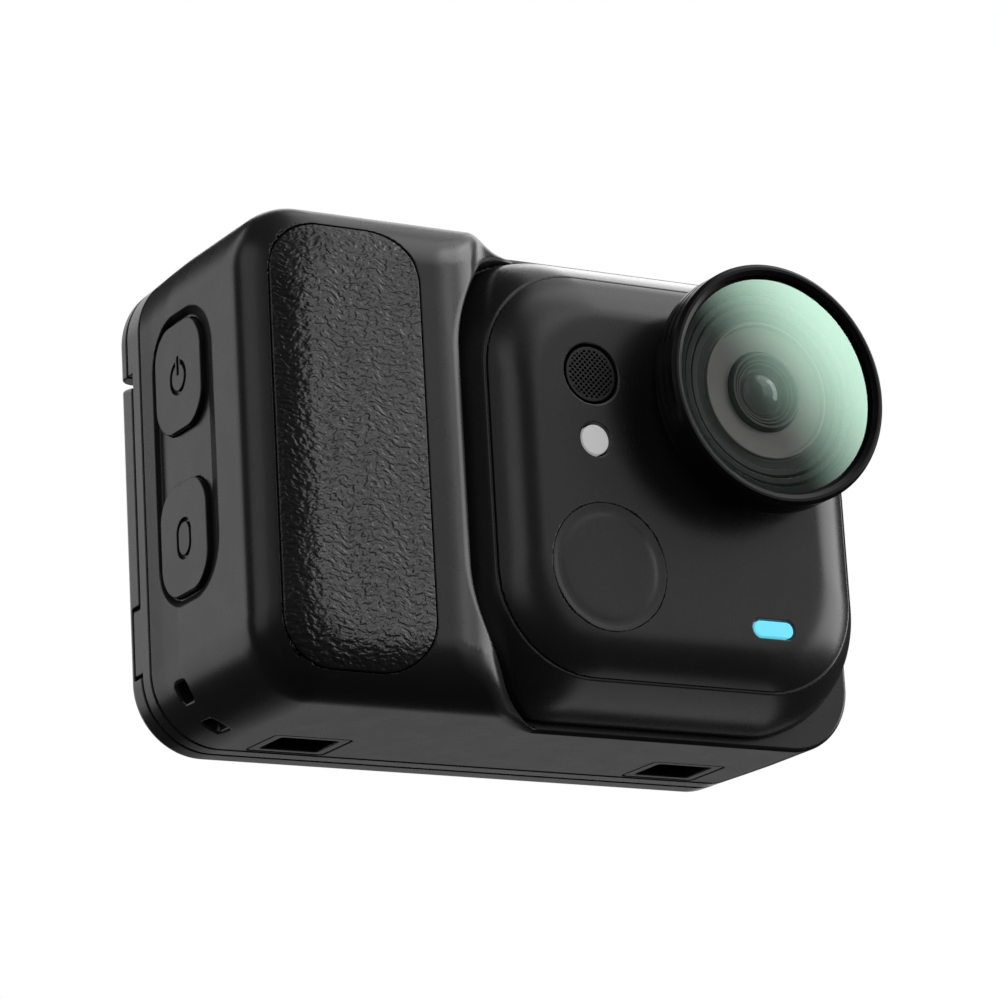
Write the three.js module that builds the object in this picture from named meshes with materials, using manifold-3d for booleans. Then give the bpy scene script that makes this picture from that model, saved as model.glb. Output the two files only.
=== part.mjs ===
// Action camera: a square camera pod held by magnets in a dock that has a grip
// block, side and top buttons, two base sockets and a screen that flips up.
// Millimetres. X runs left to right seen from the front, Y from front to back,
// Z up. The inner frame puts X = 0 at the left side and Z = 0 at the base.
import * as THREE from 'three';
import { mergeVertices } from 'three/addons/utils/BufferGeometryUtils.js';
import Module from 'manifold-3d';

const wasm = await Module();
wasm.setup();

// ---- overall body -------------------------------------------------------
const BODY_W = 70.0;
const BODY_H = 47.7;
const BODY_CORNER = 7.0;
const BLOCK_FRONT = 2.3;
const BLOCK_SIDE_FILLET = 4.4;
const BLOCK_SIDE_WIDE = 6.4;
const BLOCK_TOP_FILLET = 6.05;
const SLAB_FRONT = 12.4;
const SHELL_BACK = 27.25;
const FRAME_FRONT = 27.55;
const FRAME_BACK = 29.35;
const SCREEN_FRONT = 29.65;
const BODY_BACK = 33.0;
const GAP = 0.3;

// ---- camera pod ---------------------------------------------------------
const POD_X = 46.0;
const POD_Z = 23.75;
const POD_HALF_X = 22.8;
const POD_HALF_Z = 22.9;
const POD_CORNER = 11.6;
const POD_FRONT = 3.2;
const POD_SEAM = 5.3;
const POD_BACK = 12.1;
const SPIGOT_HALF = 19.2;
const SPIGOT_BACK = 15.0;
const POCKET_FLOOR = 15.4;

// ---- lens ---------------------------------------------------------------
const LENS_X = 54.04;
const LENS_Z = 32.44;
const GUARD_FRONT = -3.0;
const GUARD_BACK = 0.6;
const GUARD_R = 12.15;
const GLASS_R = 10.8;

// ---- pod face features --------------------------------------------------
const MIC = { x: 36.55, z: 33.4, r: 2.75 };
const DOT = { x: 36.6, z: 26.85, r: 1.49 };
const RELEASE = { x: 37.3, z: 14.3, r: 6.3 };
const LIGHT = { x: 55.5, z: 9.6, w: 4.5, h: 1.6 };

// ---- dock features ------------------------------------------------------
const GRIP = { x0: 2.3, x1: 17.6, z0: 2.3, z1: 44.9, r: 5.2, thick: 1.0 };
const SIDE_BUTTON = { y0: 14.2, y1: 23.8, r: 3.3, face: 0.25 };
const POWER_Z = [28.6, 39.2];
const RING_Z = [12.7, 23.5];
const TOP_BUTTON = { x: 12.0, y: 16.0, r: 4.3 };
const SOCKET_X = [14.0, 56.0];
const SOCKET_Y = 23.6;
const HINGE_Y = 31.85;
const HINGE_Z = 44.7;
const BLOCK_Z = 37.3;
const SCREEN_TOP = 36.45;
const DOOR = { y0: 15.2, axisY: 22.2, z0: 14.5, z1: 32.5, x0: 68.45, x1: 69.65 };
const SCREWS = [[6.2, 5.0], [63.8, 5.0], [6.2, 42.7], [63.8, 42.7]];

// ---- solids -------------------------------------------------------------
const onXZ = (u, v, level) => [u, level, v];
const onXY = (u, v, level) => [u, v, level];
const onYZ = (u, v, level) => [level, u, v];

function solid(geometry) {
  geometry.deleteAttribute('normal');
  geometry.deleteAttribute('uv');
  const merged = mergeVertices(geometry, 1e-5);
  const vertices = new Float32Array(merged.attributes.position.array);
  const triangles = new Uint32Array(merged.index.array);
  const mesh = new wasm.Mesh({ numProp: 3, vertProperties: vertices, triVerts: triangles });
  return new wasm.Manifold(mesh);
}

// Signed volume of a triangle soup, used to turn a loft outside out.
function signedVolume(positions, indices) {
  let total = 0;
  const a = new THREE.Vector3();
  const b = new THREE.Vector3();
  const c = new THREE.Vector3();
  for (let i = 0; i < indices.length; i += 3) {
    a.fromArray(positions, 3 * indices[i]);
    b.fromArray(positions, 3 * indices[i + 1]);
    c.fromArray(positions, 3 * indices[i + 2]);
    total += a.dot(b.cross(c));
  }
  return total;
}

// Skin through outlines with equal point counts, closed by flat ends.
function loft(sections, place) {
  const count = sections[0].points.length;
  const positions = [];
  const indices = [];
  for (const section of sections) {
    for (const p of section.points) positions.push(...place(p.x, p.y, section.level));
  }
  for (let s = 0; s + 1 < sections.length; s += 1) {
    for (let i = 0; i < count; i += 1) {
      const a = s * count + i;
      const b = s * count + ((i + 1) % count);
      indices.push(a, b, b + count);
      indices.push(a, b + count, a + count);
    }
  }
  const last = (sections.length - 1) * count;
  for (const [a, b, c] of THREE.ShapeUtils.triangulateShape(sections[0].points, [])) {
    indices.push(c, b, a);
  }
  for (const [a, b, c] of THREE.ShapeUtils.triangulateShape(sections.at(-1).points, [])) {
    indices.push(last + a, last + b, last + c);
  }
  if (signedVolume(positions, indices) < 0) {
    for (let i = 0; i < indices.length; i += 3) {
      [indices[i], indices[i + 1]] = [indices[i + 1], indices[i]];
    }
  }
  const geometry = new THREE.BufferGeometry();
  geometry.setAttribute('position', new THREE.Float32BufferAttribute(positions, 3));
  geometry.setIndex(indices);
  return solid(geometry);
}

function roundRect(cu, cv, w, h, r, steps = 6) {
  const points = [];
  const corners = [[1, 1], [-1, 1], [-1, -1], [1, -1]];
  corners.forEach(([su, sv], k) => {
    for (let i = 0; i <= steps; i += 1) {
      const t = (k + i / steps) * Math.PI / 2;
      const u = cu + su * (w / 2 - r) + r * Math.cos(t);
      const v = cv + sv * (h / 2 - r) + r * Math.sin(t);
      points.push(new THREE.Vector2(u, v));
    }
  });
  return points;
}

function polygon(pairs) {
  return pairs.map(([u, v]) => new THREE.Vector2(u, v));
}

function prism(points, place, from, to) {
  return loft([{ level: from, points }, { level: to, points }], place);
}

function plate(x0, x1, y0, y1, z0, z1, r, place, steps = 4) {
  let [u0, u1, v0, v1, a, b] = [y0, y1, z0, z1, x0, x1];
  if (place === onXZ) [u0, u1, v0, v1, a, b] = [x0, x1, z0, z1, y0, y1];
  if (place === onXY) [u0, u1, v0, v1, a, b] = [x0, x1, y0, y1, z0, z1];
  const outline = roundRect((u0 + u1) / 2, (v0 + v1) / 2, u1 - u0, v1 - v0, r, steps);
  return prism(outline, place, a, b);
}

function box(x0, x1, y0, y1, z0, z1) {
  const geometry = new THREE.BoxGeometry(x1 - x0, y1 - y0, z1 - z0);
  geometry.translate((x0 + x1) / 2, (y0 + y1) / 2, (z0 + z1) / 2);
  return solid(geometry);
}

// Turned piece about a line along Y through (x, z); profile pairs are [radius, y].
function turned(x, z, profile, sides = 32) {
  const points = polygon(profile);
  const geometry = new THREE.LatheGeometry(points, sides);
  geometry.translate(x, 0, z);
  const positions = geometry.attributes.position.array;
  const indices = geometry.index.array;
  if (signedVolume(positions, indices) < 0) {
    for (let i = 0; i < indices.length; i += 3) {
      [indices[i], indices[i + 1]] = [indices[i + 1], indices[i]];
    }
  }
  return solid(geometry);
}

function rodY(x, z, r, y0, y1, sides = 24) {
  const geometry = new THREE.CylinderGeometry(r, r, y1 - y0, sides);
  geometry.translate(x, (y0 + y1) / 2, z);
  return solid(geometry);
}

function rodX(y, z, r, x0, x1, sides = 16) {
  const geometry = new THREE.CylinderGeometry(r, r, x1 - x0, sides);
  geometry.rotateZ(Math.PI / 2);
  geometry.translate((x0 + x1) / 2, y, z);
  return solid(geometry);
}

function rodZ(x, y, r, z0, z1, sides = 24) {
  const geometry = new THREE.CylinderGeometry(r, r, z1 - z0, sides);
  geometry.rotateX(Math.PI / 2);
  geometry.translate(x, y, (z0 + z1) / 2);
  return solid(geometry);
}

// ---- materials ----------------------------------------------------------
function finish(color, roughness, metalness = 0) {
  return new THREE.MeshStandardMaterial({ color, roughness, metalness });
}

const SHELL = finish(0x26272a, 0.55);
const POD_SHELL = finish(0x1d1e20, 0.42);
const GRIP_RUBBER = finish(0x1a1a1b, 0.75);
const BUTTON = finish(0x2b2c2f, 0.5);
const GUARD_METAL = finish(0x101112, 0.35, 0.6);
const CLEAR = new THREE.MeshStandardMaterial({
  color: 0x9fd8bd, roughness: 0.05, transparent: true, opacity: 0.35,
});
const LENS_GLASS = new THREE.MeshStandardMaterial({
  color: 0x6f8a7d, roughness: 0.05, transparent: true, opacity: 0.45,
});
const LENS_TRIM = finish(0x3a3c3b, 0.45);
const SCREEN = finish(0x050607, 0.08);
const PANEL = finish(0x0c1014, 0.3);
const GRILLE = finish(0x0b0b0c, 0.4, 0.5);
const WHITE = finish(0xe9eaea, 0.4);
const BLUE = finish(0x6edff5, 0.35);
const STEEL = finish(0xa7abb0, 0.3, 1);
const MAGNET = finish(0x8b8f94, 0.35, 1);
const CONTACT = finish(0xc9a24a, 0.3, 1);
const BOARD = finish(0x123524, 0.6);
const CELL = finish(0x2f3a46, 0.5);
const SENSOR = finish(0x2a2438, 0.2);

// ---- body surfaces ------------------------------------------------------
// Depth of a quarter-round edge of radius r at distance d behind its face.
function edgeInset(d, r) {
  if (d >= r) return 0;
  return r - Math.sqrt(r * r - (r - d) ** 2);
}

// The sides draw in slightly behind the buttons.
function sideTaper(y) {
  const stops = [[20, 0], [24, 0.2], [27.4, 0.45], [33, 0.75]];
  if (y <= stops[0][0]) return 0;
  for (let i = 0; i + 1 < stops.length; i += 1) {
    const [ya, a] = stops[i];
    const [yb, b] = stops[i + 1];
    if (y <= yb) return a + (b - a) * (y - ya) / (yb - ya);
  }
  return 0.75;
}

function bodyOutline(y, insetX, insetZ, offset = 0) {
  const w = BODY_W - 2 * (sideTaper(y) + insetX + offset);
  const h = BODY_H - 2 * (insetZ + offset);
  const r = Math.max(BODY_CORNER - offset - 0.4 * (insetX + insetZ) / 2, 1.5);
  return roundRect(BODY_W / 2, BODY_H / 2, w, h, r, 6);
}

function bodyStretch(from, to) {
  const marks = [12.4, 12.85, 20, 24, 27.4, 31.4, 32.0, 32.6, 33.0];
  const inner = marks.filter((y) => y > from && y < to);
  const sections = [from, ...inner, to].map((y) => {
    const front = edgeInset(y - SLAB_FRONT, 0.45);
    const back = edgeInset(BODY_BACK - y, 1.6);
    return { level: y, points: bodyOutline(y, front + back, front + back) };
  });
  return loft(sections, onXZ);
}

// Grip block, rounded on its front edges, wider than deep at the sides; offset shrinks it evenly.
function gripBlock(offset) {
  const depths = [0, 0.25, 0.8, 1.7, 3.0, 4.4, 6.05, 13];
  const sections = depths.map((d) => {
    const y = BLOCK_FRONT + offset + d;
    const spread = BLOCK_SIDE_WIDE / BLOCK_SIDE_FILLET;
    const insetX = spread * edgeInset(d, BLOCK_SIDE_FILLET - offset);
    const insetZ = edgeInset(d, BLOCK_TOP_FILLET - offset);
    return { level: y, points: bodyOutline(y, insetX, insetZ, offset) };
  });
  return loft(sections, onXZ);
}

// Plan outline of the block: flat front, then an S-shaped flank down to the slab.
function flankPlan() {
  const flank = [
    [-1, 1.3], [21.2, 1.3], [21.2, 2.3], [22.6, 2.5], [24.1, 3.3], [25.5, 4.7], [26.9, 6.5], [28.2, 7.95],
    [29.9, 9.5], [31.5, 10.8], [32.8, 11.6], [34.0, 12.1], [35.3, 12.45], [35.3, 13.6], [-1, 13.6],
  ];
  return prism(polygon(flank), onXY, -1, BODY_H + 1);
}

function podOutline(grow, insetX, insetZ) {
  const w = 2 * (POD_HALF_X + grow - insetX);
  const h = 2 * (Math.min(POD_HALF_Z + grow, POD_HALF_Z + 0.4) - insetZ);
  const r = Math.max(POD_CORNER + grow - 0.25 * (insetX + insetZ), 4);
  return roundRect(POD_X, POD_Z, w, h, r, 8);
}

// Space for the pod beside the grip block, flared at its mouth.
function podBay() {
  const stations = [[-2, 2.2], [2.3, 1.8], [2.8, 1.35], [3.8, 1.1], [6.5, 0.8], [12.4, 0.45]];
  const sections = stations.map(([y, grow]) => ({ level: y, points: podOutline(grow, 0, 0) }));
  const seat = 2 * (SPIGOT_HALF + 0.4);
  const seatOutline = roundRect(POD_X, POD_Z, seat, seat, 8.4, 6);
  return loft(sections, onXZ).add(prism(seatOutline, onXZ, SLAB_FRONT - 0.2, POCKET_FLOOR));
}

// ---- dock ---------------------------------------------------------------
function shellCavity() {
  const block = prism(roundRect(11.8, 23.85, 16.8, 42.9, 3.5, 4), onXZ, 4.8, 28);
  const slab = prism(roundRect(34.9, 23.85, 63.0, 42.9, 4.5, 4), onXZ, 17.0, 28);
  let room = block.add(slab);
  for (const [x, z] of SCREWS) {
    room = room.subtract(box(x - 3, x + 3, 21.8, 29, z - 2.7, z + 2.7));
  }
  return room.subtract(box(3, 7.2, 18.4, 24, 2, 6.8));
}

function sideRecess() {
  return loft([
    { level: -0.9, points: roundRect(16.8, 25.7, 17.4, 30.4, 6.4, 6) },
    { level: 0, points: roundRect(17.85, 25.75, 13.3, 28.5, 5.2, 6) },
    { level: 0.8, points: roundRect(18.9, 25.95, 10.6, 27.3, 4.2, 6) },
  ], onYZ);
}

function sideButtonHole([z0, z1]) {
  const { y0, y1, r } = SIDE_BUTTON;
  return plate(0.2, 4, y0 - GAP, y1 + GAP, z0 - GAP, z1 + GAP, r + GAP, onYZ);
}

function lanyardChannel() {
  const side = plate(-1, 5.2, 20.2, 22.6, 2.9, 4.7, 0.5, onYZ, 2);
  const base = plate(3.2, 5.0, 20.2, 22.6, -1, 4.6, 0.5, onXY, 2);
  return side.add(base);
}

function frontShell() {
  let shell = bodyStretch(SLAB_FRONT, SHELL_BACK).add(gripBlock(0).intersect(flankPlan()));
  shell = shell.subtract(podBay()).subtract(shellCavity()).subtract(gripRecess());
  shell = shell.subtract(sideRecess()).subtract(sideButtonHole(POWER_Z)).subtract(sideButtonHole(RING_Z));
  shell = shell.subtract(lanyardChannel());
  shell = shell.subtract(rodZ(TOP_BUTTON.x, TOP_BUTTON.y, TOP_BUTTON.r + GAP, 44, 49));
  for (const x of SOCKET_X) {
    shell = shell.subtract(plate(x - 4.15, x + 4.15, 20.35, 26.85, -1, 7, 0.5, onXY, 2));
  }
  for (const [x, z] of SCREWS) {
    shell = shell.subtract(rodY(x, z, 0.9, 22.4, 28, 12));
  }
  shell = shell.subtract(plate(68.1, 71, 14.9, 23.4, 14.2, 32.8, 0.8, onYZ, 2));
  shell = shell.subtract(plate(66, 69, 17.4, 21.0, 18.7, 28.3, 1.6, onYZ));
  return shell.subtract(box(40.7, 51.7, 15, 18, 21.7, 25.8));
}

function gripRecess() {
  const { x0, x1, z0, z1, r, thick } = GRIP;
  const window = plate(x0 - GAP, x1 + GAP, 0, 9, z0 - GAP, z1 + GAP, r + GAP, onXZ, 6);
  return window.subtract(gripBlock(thick + 0.4));
}

function gripPad() {
  const { x0, x1, z0, z1, r, thick } = GRIP;
  const window = plate(x0, x1, 0, 9, z0, z1, r, onXZ, 6);
  return window.intersect(gripBlock(0.05)).subtract(gripBlock(thick + 0.05));
}

function rearFrame() {
  const tabs = bodyStretch(FRAME_BACK - 0.2, 30.4);
  const ears = box(-1, 12, 29, 31, BLOCK_Z, 49).add(box(58, 71, 29, 31, BLOCK_Z, 49));
  let frame = bodyStretch(FRAME_FRONT, FRAME_BACK).add(tabs.intersect(ears));
  const notches = box(-1, 1.9, 29, 32, 7.4, 13.9).add(box(68.1, 71, 29, 32, 7.4, 13.9));
  frame = frame.add(bodyStretch(FRAME_BACK - 0.2, 31.1).intersect(notches));
  for (const [x, z] of SCREWS) {
    frame = frame.subtract(rodY(x, z, 0.9, 27, 29, 12)).subtract(rodY(x, z, 1.5, 28.0, 29.2, 12));
  }
  return frame.subtract(plate(20, 50, 27, 30, 10, 32, 2, onXZ));
}

function hingeBlock(x0, x1) {
  const body = bodyStretch(30.7, BODY_BACK).intersect(box(x0, x1, 30, 34, BLOCK_Z, 49));
  return body.subtract(rodX(HINGE_Y, HINGE_Z, 0.85, 4.6, 65.4));
}

function sideButton([z0, z1]) {
  const { y0, y1, r, face } = SIDE_BUTTON;
  const cap = loft([
    { level: face, points: roundRect((y0 + y1) / 2, (z0 + z1) / 2, y1 - y0 - 0.24, z1 - z0 - 0.24, r, 5) },
    { level: face + 0.12, points: roundRect((y0 + y1) / 2, (z0 + z1) / 2, y1 - y0, z1 - z0, r, 5) },
    { level: 4.1, points: roundRect((y0 + y1) / 2, (z0 + z1) / 2, y1 - y0, z1 - z0, r, 5) },
  ], onYZ);
  return cap.add(plate(3.75, 4.3, y0 - 0.8, y1 + 0.8, z0 - 0.8, z1 + 0.8, r, onYZ, 4));
}

function topButton() {
  const { x, y, r } = TOP_BUTTON;
  const flange = rodZ(x, y, r + 0.7, 44.3, 45.0, 32);
  return flange.add(rodZ(x, y, r - 0.2, 44.6, 47.9, 32)).add(rodZ(x, y, r, 44.6, 47.6, 32));
}

function socketLiner(x) {
  const outer = plate(x - 3.85, x + 3.85, 20.65, 26.55, 0.35, 6.3, 0.4, onXY, 2);
  return outer.subtract(plate(x - 3.1, x + 3.1, 21.2, 26.0, 0, 5.5, 0.3, onXY, 2));
}

function portDoor() {
  const { y0, axisY, z0, z1, x0, x1 } = DOOR;
  const r = (x1 - x0) / 2;
  const leaf = box(x0, x1, y0, axisY, z0, z1);
  const barrel = rodZ((x0 + x1) / 2, axisY, r, z0, z1, 16);
  return leaf.add(barrel).subtract(rodZ((x0 + x1) / 2, axisY, 0.3, z0 - 1, z1 + 1, 12));
}

function usbPort() {
  const outer = plate(61, 68.0, 17.7, 20.7, 19.0, 28.0, 1.45, onYZ);
  return outer.subtract(plate(62, 69, 18.0, 20.4, 19.3, 27.7, 1.15, onYZ));
}

function screw([x, z]) {
  return rodY(x, z, 1.2, 28.25, 29.05, 12).add(rodY(x, z, 0.6, 22.8, 28.4, 12));
}

// ---- flip screen --------------------------------------------------------
function screenFrame() {
  let frame = bodyStretch(SCREEN_FRONT, BODY_BACK);
  const top = [[34, SCREEN_TOP + 0.1], [31.0, SCREEN_TOP - 0.2], [29, SCREEN_TOP - 0.6]];
  const edge = polygon([[29, -1], [34, -1], ...top]);
  frame = frame.intersect(prism(edge, onYZ, -1, 71));
  frame = frame.subtract(plate(3.2, 66.8, 31.1, 34, 2.6, 34.2, 2.6, onXZ));
  frame = frame.subtract(box(12.1, 57.9, 29, 30.9, 30.9, 37));
  for (const [x0, x1] of [[-1, 2.2], [67.8, 71]]) {
    frame = frame.subtract(box(x0, x1, 29, 31.4, 7.1, 14.2));
  }
  return frame;
}

function hingeArm() {
  const pairs = [[29.75, 31.3], [30.6, 31.3], [30.6, 36.95], [32.6, 37.0], [32.9, 37.3], [32.95, 41]];
  for (let i = 0; i <= 8; i += 1) {
    const t = Math.PI * i / 8;
    pairs.push([HINGE_Y + 1.45 * Math.cos(t), HINGE_Z + 1.45 * Math.sin(t)]);
  }
  pairs.push([29.75, 42]);
  const arm = prism(polygon(pairs), onYZ, 12.4, 57.6);
  return arm.subtract(rodX(HINGE_Y, HINGE_Z, 0.85, 12, 58));
}

// ---- pod ----------------------------------------------------------------
function podStretch(from, to) {
  const marks = [3.2, 3.5, 4.2, 5.3, 6.6, 8.4, 10.2, 11.7, 12.1];
  const inner = marks.filter((y) => y > from && y < to);
  const sections = [from, ...inner, to].map((y) => {
    const d = Math.min((y - POD_FRONT) / 9.0, 1);
    const front = 8.0 * (1 - Math.sqrt(1 - (1 - d) ** 2));
    const back = edgeInset(POD_BACK - y, 0.6);
    return { level: y, points: podOutline(0, front + back, front + back) };
  });
  return loft(sections, onXZ);
}

function podFrontCover() {
  let cover = podStretch(POD_FRONT, POD_SEAM - 0.15);
  cover = cover.subtract(plate(29.6, 62.8, 4.4, 6, 7.1, 40.4, 6, onXZ));
  cover = cover.subtract(rodY(LENS_X, LENS_Z, 9.5, 3, 6, 32));
  cover = cover.subtract(rodY(MIC.x, MIC.z, MIC.r + GAP, 3, 6, 20));
  cover = cover.subtract(rodY(DOT.x, DOT.z, DOT.r + GAP, 3, 6, 16));
  cover = cover.subtract(rodY(RELEASE.x, RELEASE.z, RELEASE.r + GAP, 3, 6, 32));
  return cover.subtract(lightShape(GAP, 3, 6));
}

function podRearShell() {
  const spigot = 2 * SPIGOT_HALF;
  let shell = podStretch(POD_SEAM + 0.15, POD_BACK);
  shell = shell.add(prism(roundRect(POD_X, POD_Z, spigot, spigot, 8, 6), onXZ, POD_BACK - 0.2, SPIGOT_BACK));
  shell = shell.subtract(prism(roundRect(POD_X, POD_Z, 37.4, 37.4, 7, 6), onXZ, 5, 11.6));
  shell = shell.subtract(prism(roundRect(POD_X, POD_Z, 35.4, 35.4, 6.5, 6), onXZ, 5, 13.5));
  return shell.subtract(box(40.4, 52.0, 14.1, 16, 21.4, 26.1));
}

function lightShape(grow, y0, y1) {
  const { x, z, w, h } = LIGHT;
  const outline = roundRect(x, z, w + 2 * grow, h + 2 * grow, h / 2 + grow - 0.01, 4);
  return prism(outline, onXZ, y0, y1);
}

function releaseButton() {
  const { x, z, r } = RELEASE;
  return rodY(x, z, r, 3.25, 4.9, 32).add(rodY(x, z, r + 0.6, 4.72, 5.1, 32));
}

// ---- lens ---------------------------------------------------------------
function lensTurret() {
  return turned(LENS_X, LENS_Z, [
    [8.9, -1.0], [9.55, -1.0], [9.55, 0.95], [10.3, 0.95], [10.5, 1.2], [10.5, 2.85],
    [9.15, 2.85], [9.15, 5.6], [8.9, 5.6], [8.9, -1.0],
  ]);
}

function lensGuardRing() {
  return turned(LENS_X, LENS_Z, [
    [GLASS_R + 0.3, -2.75], [GLASS_R + 0.7, GUARD_FRONT], [GUARD_R - 0.35, GUARD_FRONT],
    [GUARD_R, GUARD_FRONT + 0.35], [GUARD_R, GUARD_BACK - 0.3], [GUARD_R - 0.3, GUARD_BACK],
    [9.9, GUARD_BACK], [9.9, -1.5], [GLASS_R + 0.3, -1.5], [GLASS_R + 0.3, -2.75],
  ], 40);
}

function lensTrimPlate() {
  return turned(LENS_X, LENS_Z, [
    [4.1, -0.35], [6.3, -0.1], [6.7, -0.5], [8.6, -0.7], [8.6, 0.4], [4.1, 0.4], [4.1, -0.35],
  ]);
}

function lensBarrel() {
  return turned(LENS_X, LENS_Z, [
    [0, 0.6], [2.9, 0.3], [3.2, -0.65], [3.75, -0.65], [3.75, 0.9], [6.6, 1.2], [6.6, 10.4], [0, 10.4],
  ]);
}

function frontElement() {
  return turned(LENS_X, LENS_Z, [
    [0, -0.95], [1.0, -0.87], [1.9, -0.62], [2.6, -0.2], [2.6, 0.02], [0, 0.25],
  ], 24);
}

// ---- assembly -----------------------------------------------------------
const camera = new THREE.Group();
const dock = new THREE.Group();
dock.position.set(-BODY_W / 2, -SOCKET_Y, 0);
camera.add(dock);

function piece(name, body, material) {
  const out = body.getMesh();
  const geometry = new THREE.BufferGeometry();
  geometry.setAttribute('position', new THREE.Float32BufferAttribute(out.vertProperties, 3));
  geometry.setIndex(Array.from(out.triVerts));
  geometry.computeVertexNormals();
  const mesh = new THREE.Mesh(geometry, material);
  mesh.name = name;
  dock.add(mesh);
}

piece('front_shell', frontShell(), SHELL);
piece('rear_frame', rearFrame(), SHELL);
piece('hinge_block_left', hingeBlock(-1, 12), SHELL);
piece('hinge_block_right', hingeBlock(58, 71), SHELL);
piece('hinge_shaft', rodX(HINGE_Y, HINGE_Z, 0.6, 4.9, 65.1), STEEL);
piece('grip_pad', gripPad(), GRIP_RUBBER);
piece('power_button', sideButton(POWER_Z), BUTTON);
piece('ring_button', sideButton(RING_Z), BUTTON);
piece('top_shutter_button', topButton(), BUTTON);
piece('power_switch', box(5.1, 6.2, 16.5, 20.6, 31.6, 35.7), STEEL);
piece('ring_switch', box(5.1, 6.2, 16.5, 20.6, 16.0, 20.1), STEEL);
piece('shutter_switch', box(10, 14, 14, 18, 42.3, 43.5), STEEL);
piece('port_door', portDoor(), SHELL);
piece('usb_port', usbPort(), STEEL);
piece('main_board', box(24, 59.5, 22.2, 23.4, 8.4, 41), BOARD);
piece('dock_battery', plate(7.3, 19.4, 6.2, 21.4, 9.6, 41.2, 1.5, onXZ, 3), CELL);
piece('base_magnet', box(29, 41, 18.8, 26.2, 2.75, 4.75), MAGNET);
piece('speaker', plate(27, 43, 24.2, 26.7, 28, 38, 1.5, onXZ, 3), GRILLE);
SOCKET_X.forEach((x, i) => piece(`socket_liner_${['left', 'right'][i]}`, socketLiner(x), STEEL));
piece('dock_contacts', box(41.0, 51.4, 14.9, 17.6, 22.0, 25.5), CONTACT);
[36.2, 56.2].forEach((x, i) => {
  piece(`dock_magnet_${['left', 'right'][i]}`, rodY(x, POD_Z, 3.0, 17.35, 19.35, 20), MAGNET);
});
SCREWS.forEach((spot, i) => piece(`screw_${i + 1}`, screw(spot), STEEL));

piece('hinge_arm', hingeArm(), SHELL);
piece('screen_frame', screenFrame(), SHELL);
piece('display_panel', plate(3.7, 66.3, 31.4, 32.0, 3.1, 33.7, 2.2, onXZ, 3), PANEL);
piece('screen_glass', plate(3.5, 66.5, 32.3, 33.0, 2.9, 33.9, 2.3, onXZ, 4), SCREEN);

piece('pod_front_cover', podFrontCover(), POD_SHELL);
piece('pod_rear_shell', podRearShell(), POD_SHELL);
piece('lens_turret', lensTurret(), POD_SHELL);
piece('lens_trim_plate', lensTrimPlate(), LENS_TRIM);
piece('lens_barrel', lensBarrel(), GRILLE);
piece('lens_front_element', frontElement(), LENS_GLASS);
piece('image_sensor', box(LENS_X - 5, LENS_X + 5, 10.75, 11.35, LENS_Z - 4, LENS_Z + 4), SENSOR);
piece('sensor_board', box(LENS_X - 7, LENS_X + 7, 11.65, 12.3, LENS_Z - 7, LENS_Z + 7), BOARD);
piece('pod_steel_plate', box(34, 58, 12.6, 13.2, 12, 36), STEEL);
piece('pod_battery', plate(29.6, 45.0, 7.0, 11.2, 7.0, 22.4, 1.2, onXZ, 3), CELL);
piece('pod_board', box(47.4, 62.0, 7.8, 8.8, 7.6, 23.6), BOARD);
piece('mic_grille', rodY(MIC.x, MIC.z, MIC.r, 3.35, 4.3, 20), GRILLE);
piece('mic_capsule', rodY(MIC.x, MIC.z, 2.0, 4.7, 6.3, 16), STEEL);
piece('status_dot', rodY(DOT.x, DOT.z, DOT.r, 3.3, 4.3, 20), WHITE);
piece('light_bar', lightShape(0, 3.3, 4.3), BLUE);
piece('pod_contacts', box(40.9, 51.5, 14.2, 14.6, 21.9, 25.6), CONTACT);
piece('pod_release_button', releaseButton(), POD_SHELL);
piece('pod_button_switch', box(35.3, 39.3, 5.75, 6.6, 12.3, 16.3), STEEL);

piece('lens_guard_ring', lensGuardRing(), GUARD_METAL);
piece('lens_guard_glass', rodY(LENS_X, LENS_Z, GLASS_R, -2.6, -1.8, 40), CLEAR);

export default camera;
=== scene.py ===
"""Looks of the action camera: smooth plastic shells, leatherette grip, lens, screen, light and camera."""
import math
import bpy
import numpy as np
from mathutils import Euler, Matrix, Vector


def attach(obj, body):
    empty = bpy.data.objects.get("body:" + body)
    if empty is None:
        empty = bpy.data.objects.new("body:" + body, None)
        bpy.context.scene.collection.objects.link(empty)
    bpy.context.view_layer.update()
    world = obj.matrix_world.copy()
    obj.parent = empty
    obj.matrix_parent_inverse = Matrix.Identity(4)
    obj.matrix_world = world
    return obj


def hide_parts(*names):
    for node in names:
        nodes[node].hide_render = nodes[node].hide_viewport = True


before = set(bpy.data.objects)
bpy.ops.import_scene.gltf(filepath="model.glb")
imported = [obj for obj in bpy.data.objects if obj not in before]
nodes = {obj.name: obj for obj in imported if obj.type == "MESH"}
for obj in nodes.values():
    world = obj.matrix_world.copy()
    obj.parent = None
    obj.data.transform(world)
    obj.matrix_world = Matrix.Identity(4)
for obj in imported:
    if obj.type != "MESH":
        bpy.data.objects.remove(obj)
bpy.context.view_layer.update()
MM = 0.001
ORIGIN = (-35.0, -23.6, 0.0)       # the part's corner frame, in the row frame, in millimetres
FINE = 1.0       # grid step factor

# ---------------------------------------------------------------- shape fields
# Each field is negative inside a piece, in millimetres, in the corner frame.


def hyp(a, b):
    return np.sqrt(a * a + b * b)


def rounded_rect(u, v, hu, hv, r):
    qu, qv = np.abs(u) - hu + r, np.abs(v) - hv + r
    return hyp(np.maximum(qu, 0), np.maximum(qv, 0)) + np.minimum(np.maximum(qu, qv), 0) - r


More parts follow.
